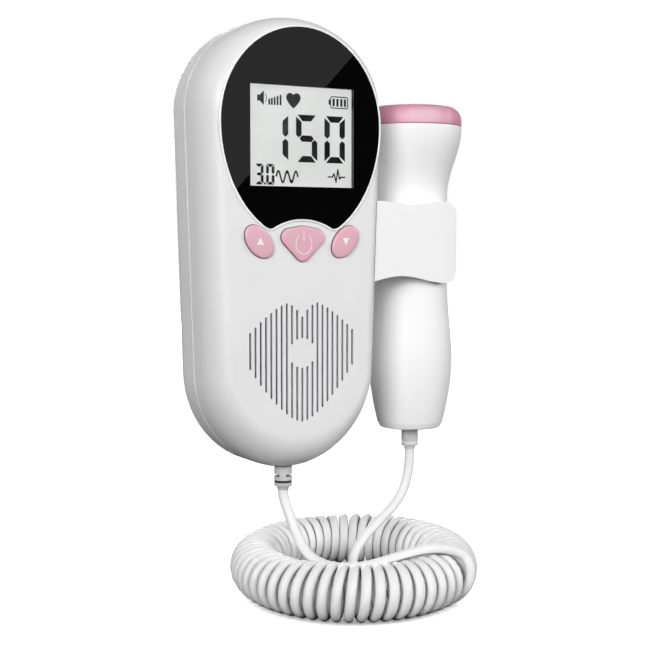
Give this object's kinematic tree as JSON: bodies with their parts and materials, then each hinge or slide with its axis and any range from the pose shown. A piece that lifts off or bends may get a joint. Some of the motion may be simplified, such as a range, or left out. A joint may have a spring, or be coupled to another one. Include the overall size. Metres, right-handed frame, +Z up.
{
  "type": "fetal doppler monitor",
  "caption": "Hand-held fetal doppler monitor with a lensed display, push buttons and a heart-shaped speaker grille, its clipped-in ultrasound probe and the curly cord between them.",
  "frame": {"origin": "centre of the main unit's flat back face, where it lies in the hand", "axes": "+X to the right seen from the front, towards the probe; +Y from the face to the back; +Z up along the unit"},
  "size_m": [0.0951, 0.0846, 0.1763],
  "materials": {
    "case": "satin white",
    "lens": "polished black with a clear window",
    "panel": "pale grey liquid crystal panel",
    "light_guide": "milky",
    "tray": "matt ivory",
    "contact_strip": "soft pink rubber",
    "board": "green solder mask",
    "black_parts": "moulded black",
    "steel": "plated",
    "button_pink": "satin pink",
    "cone": "pressed film",
    "cells": "printed sleeve",
    "cord": "satin white sheath",
    "relief": "satin white",
    "probe_white": "satin white",
    "probe_pink": "satin pink",
    "ceramic": "fired ceramic with a thin electrode",
    "backing": "filled rubber"
  },
  "bodies": {
    "unit": {"front_shell": "case", "back_shell": "case", "lens_window": "lens", "lcd_glass": "panel", "lcd_backlight": "light_guide", "lcd_frame": "tray", "lcd_connector": "contact_strip", "main_board": "board", "board_chips": "black_parts", "board_screws": "steel", "key_switches": "black_parts", "speaker_frame": "black_parts", "speaker_cone": "cone", "speaker_magnet": "steel", "headphone_jack": "black_parts", "battery_cells": "cells", "cell_contacts": "steel", "cell_springs": "steel", "case_screws": "steel", "probe_holder": "case", "holder_screws": "steel", "unit_strain_relief": "relief", "cord_lead_unit": "cord", "cord_coil": "cord", "cord_lead_probe": "cord"},
    "probe": {"probe_shell": "probe_white", "probe_cap": "probe_pink", "crystals": "ceramic", "crystal_holder": "black_parts", "backing_block": "backing", "probe_board": "board", "probe_strain_relief": "relief"},
    "power_key": {"power_button": "button_pink", "power_stem": "tray"},
    "up_key": {"up_button": "button_pink", "up_stem": "tray"},
    "down_key": {"down_button": "button_pink", "down_stem": "tray"},
    "door": {"battery_door": "case"}
  },
  "joints": [
    {"name": "probe_slide", "type": "slide", "parent": "unit", "child": "probe", "axis": [1, 0, 0], "range_m": [0, 0.04]},
    {"name": "power_press", "type": "slide", "parent": "unit", "child": "power_key", "axis": [0, 1, 0], "range_m": [0, 0.0006], "stiffness_N_per_m": 1500, "springref_m": -0.0003},
    {"name": "up_press", "type": "slide", "parent": "unit", "child": "up_key", "axis": [0, 1, 0], "range_m": [0, 0.0006], "stiffness_N_per_m": 1500, "springref_m": -0.0003},
    {"name": "down_press", "type": "slide", "parent": "unit", "child": "down_key", "axis": [0, 1, 0], "range_m": [0, 0.0006], "stiffness_N_per_m": 1500, "springref_m": -0.0003},
    {"name": "battery_door_swing", "type": "hinge", "parent": "unit", "child": "door", "pos_m": [0, -0.0012, -0.0447], "axis": [-1, 0, 0], "range_deg": [0, 85]}
  ]
}
